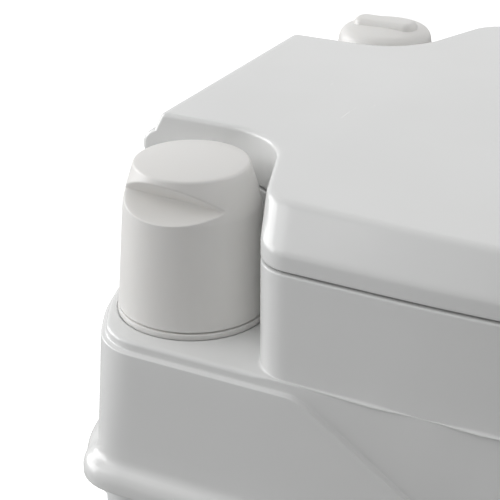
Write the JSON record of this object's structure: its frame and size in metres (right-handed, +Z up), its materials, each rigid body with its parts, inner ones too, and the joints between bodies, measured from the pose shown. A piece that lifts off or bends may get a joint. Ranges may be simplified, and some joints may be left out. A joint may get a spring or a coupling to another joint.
{
  "type": "cassette toilet",
  "caption": "Free-standing portable toilet with a piston-pump flush section, hinged seat and lid, on a detachable waste tank with a sliding valve and swivel spout.",
  "frame": {"origin": "centre of the object's bounding box at floor level", "axes": "+Z up, -Y is the front, +X is the toilet's right with the pump on the left at -X"},
  "size_m": [0.3824, 0.427, 0.414],
  "materials": {
    "white_gloss": "glossy moulded white",
    "light_grey": "glossy moulded light grey",
    "pump_white": "satin warm white",
    "bowl_white": "smooth white",
    "valve_grey": "mid grey",
    "natural": "natural unpigmented plastic",
    "rubber": "black rubber",
    "seal_rubber": "dark grey rubber",
    "steel": "stainless steel",
    "clear": "clear plastic window",
    "handle_grey": "dark grey moulded",
    "float_orange": "orange float"
  },
  "bodies": {
    "tank": {"holding_tank": "light_grey", "tank_feet": "rubber", "spout_base": "valve_grey", "handle_pins": "steel", "vent_bush": "valve_grey", "vent_spring": "steel", "tank_level_window": "clear", "float_bracket": "natural", "float_pivot": "steel", "valve_housing": "valve_grey", "valve_seal": "seal_rubber", "valve_screws": "steel", "clip_pins": "steel"},
    "spout": {"pour_spout": "white_gloss"},
    "spout_seal": {"spout_cap_seal": "seal_rubber"},
    "spout_cap": {"spout_cap": "handle_grey"},
    "carry_handle": {"carry_handle": "handle_grey"},
    "vent_button": {"vent_button": "handle_grey", "vent_seal": "seal_rubber"},
    "level_float": {"level_float": "float_orange"},
    "valve_slide": {"valve_blade": "natural", "valve_rod": "natural", "valve_handle": "handle_grey"},
    "clip_left": {"clip_left": "handle_grey"},
    "clip_right": {"clip_right": "handle_grey"},
    "flush_section": {"flush_tank_shell": "white_gloss", "flush_level_window": "clear", "base_plate": "light_grey", "base_screws": "steel", "bowl": "bowl_white", "flush_nozzle": "white_gloss", "flush_tube": "natural", "pump_barrel": "natural", "pump_inlet_valve": "seal_rubber", "pump_guide": "natural", "pump_collar": "pump_white", "filler_neck": "white_gloss", "hinge_pins": "steel", "seat_buffers": "rubber"},
    "pump": {"pump_knob": "pump_white", "pump_rod": "natural", "pump_piston": "natural", "piston_seal": "seal_rubber"},
    "filler_seal": {"filler_cap_seal": "seal_rubber"},
    "filler_cap": {"filler_cap": "pump_white"},
    "seat": {"seat": "white_gloss"},
    "lid": {"lid": "white_gloss", "lid_buffers": "rubber"}
  },
  "joints": [
    {"name": "section_lift", "type": "slide", "parent": "tank", "child": "flush_section", "axis": [0, 0, 1], "range_m": [0, 0.12]},
    {"name": "pump_stroke", "type": "slide", "parent": "flush_section", "child": "pump", "axis": [0, 0, 1], "range_m": [0, 0.048]},
    {"name": "filler_cap_lift", "type": "slide", "parent": "flush_section", "child": "filler_seal", "axis": [0, 0, 1], "range_m": [0, 0.035]},
    {"name": "filler_cap_turn", "type": "hinge", "parent": "filler_seal", "child": "filler_cap", "pos_m": [0.1275, 0.152, 0.396], "axis": [0, 0, 1], "range_deg": [0, 90]},
    {"name": "seat_hinge", "type": "hinge", "parent": "flush_section", "child": "seat", "pos_m": [0, 0.1992, 0.3905], "axis": [-1, 0, 0], "range_deg": [0, 90]},
    {"name": "lid_hinge", "type": "hinge", "parent": "seat", "child": "lid", "pos_m": [0, 0.1992, 0.3905], "axis": [-1, 0, 0], "range_deg": [0, 95]},
    {"name": "valve_pull", "type": "slide", "parent": "tank", "child": "valve_slide", "axis": [0, -1, 0], "range_m": [0, 0.104]},
    {"name": "spout_swing", "type": "hinge", "parent": "tank", "child": "spout", "pos_m": [0.119, 0.157, 0.16], "axis": [0, 0, -1], "range_deg": [0, 90]},
    {"name": "spout_cap_pull", "type": "slide", "parent": "spout", "child": "spout_seal", "axis": [-1, 0, 0], "range_m": [0, 0.025]},
    {"name": "spout_cap_turn", "type": "hinge", "parent": "spout_seal", "child": "spout_cap", "pos_m": [0.023, 0.157, 0.19], "axis": [-1, 0, 0], "range_deg": [0, 120]},
    {"name": "handle_swing", "type": "hinge", "parent": "tank", "child": "carry_handle", "pos_m": [-0.089, 0.194, 0.208], "axis": [1, 0, 0], "range_deg": [0, 90]},
    {"name": "vent_press", "type": "slide", "parent": "tank", "child": "vent_button", "axis": [0, -1, 0], "range_m": [0, 0.004], "stiffness_N_per_m": 400, "springref_m": -0.003, "deforming": ["vent_spring"]},
    {"name": "float_swing", "type": "hinge", "parent": "tank", "child": "level_float", "pos_m": [-0.07, -0.17817, 0.155], "axis": [1, 0, 0], "range_deg": [0, 30]},
    {"name": "clip_left_swing", "type": "hinge", "parent": "tank", "child": "clip_left", "pos_m": [-0.187, 0.02, 0.21], "axis": [-1, 0, 0], "range_deg": [0, 90]},
    {"name": "clip_right_swing", "type": "hinge", "parent": "tank", "child": "clip_right", "pos_m": [0.187, 0.02, 0.21], "axis": [-1, 0, 0], "range_deg": [0, 90]}
  ]
}
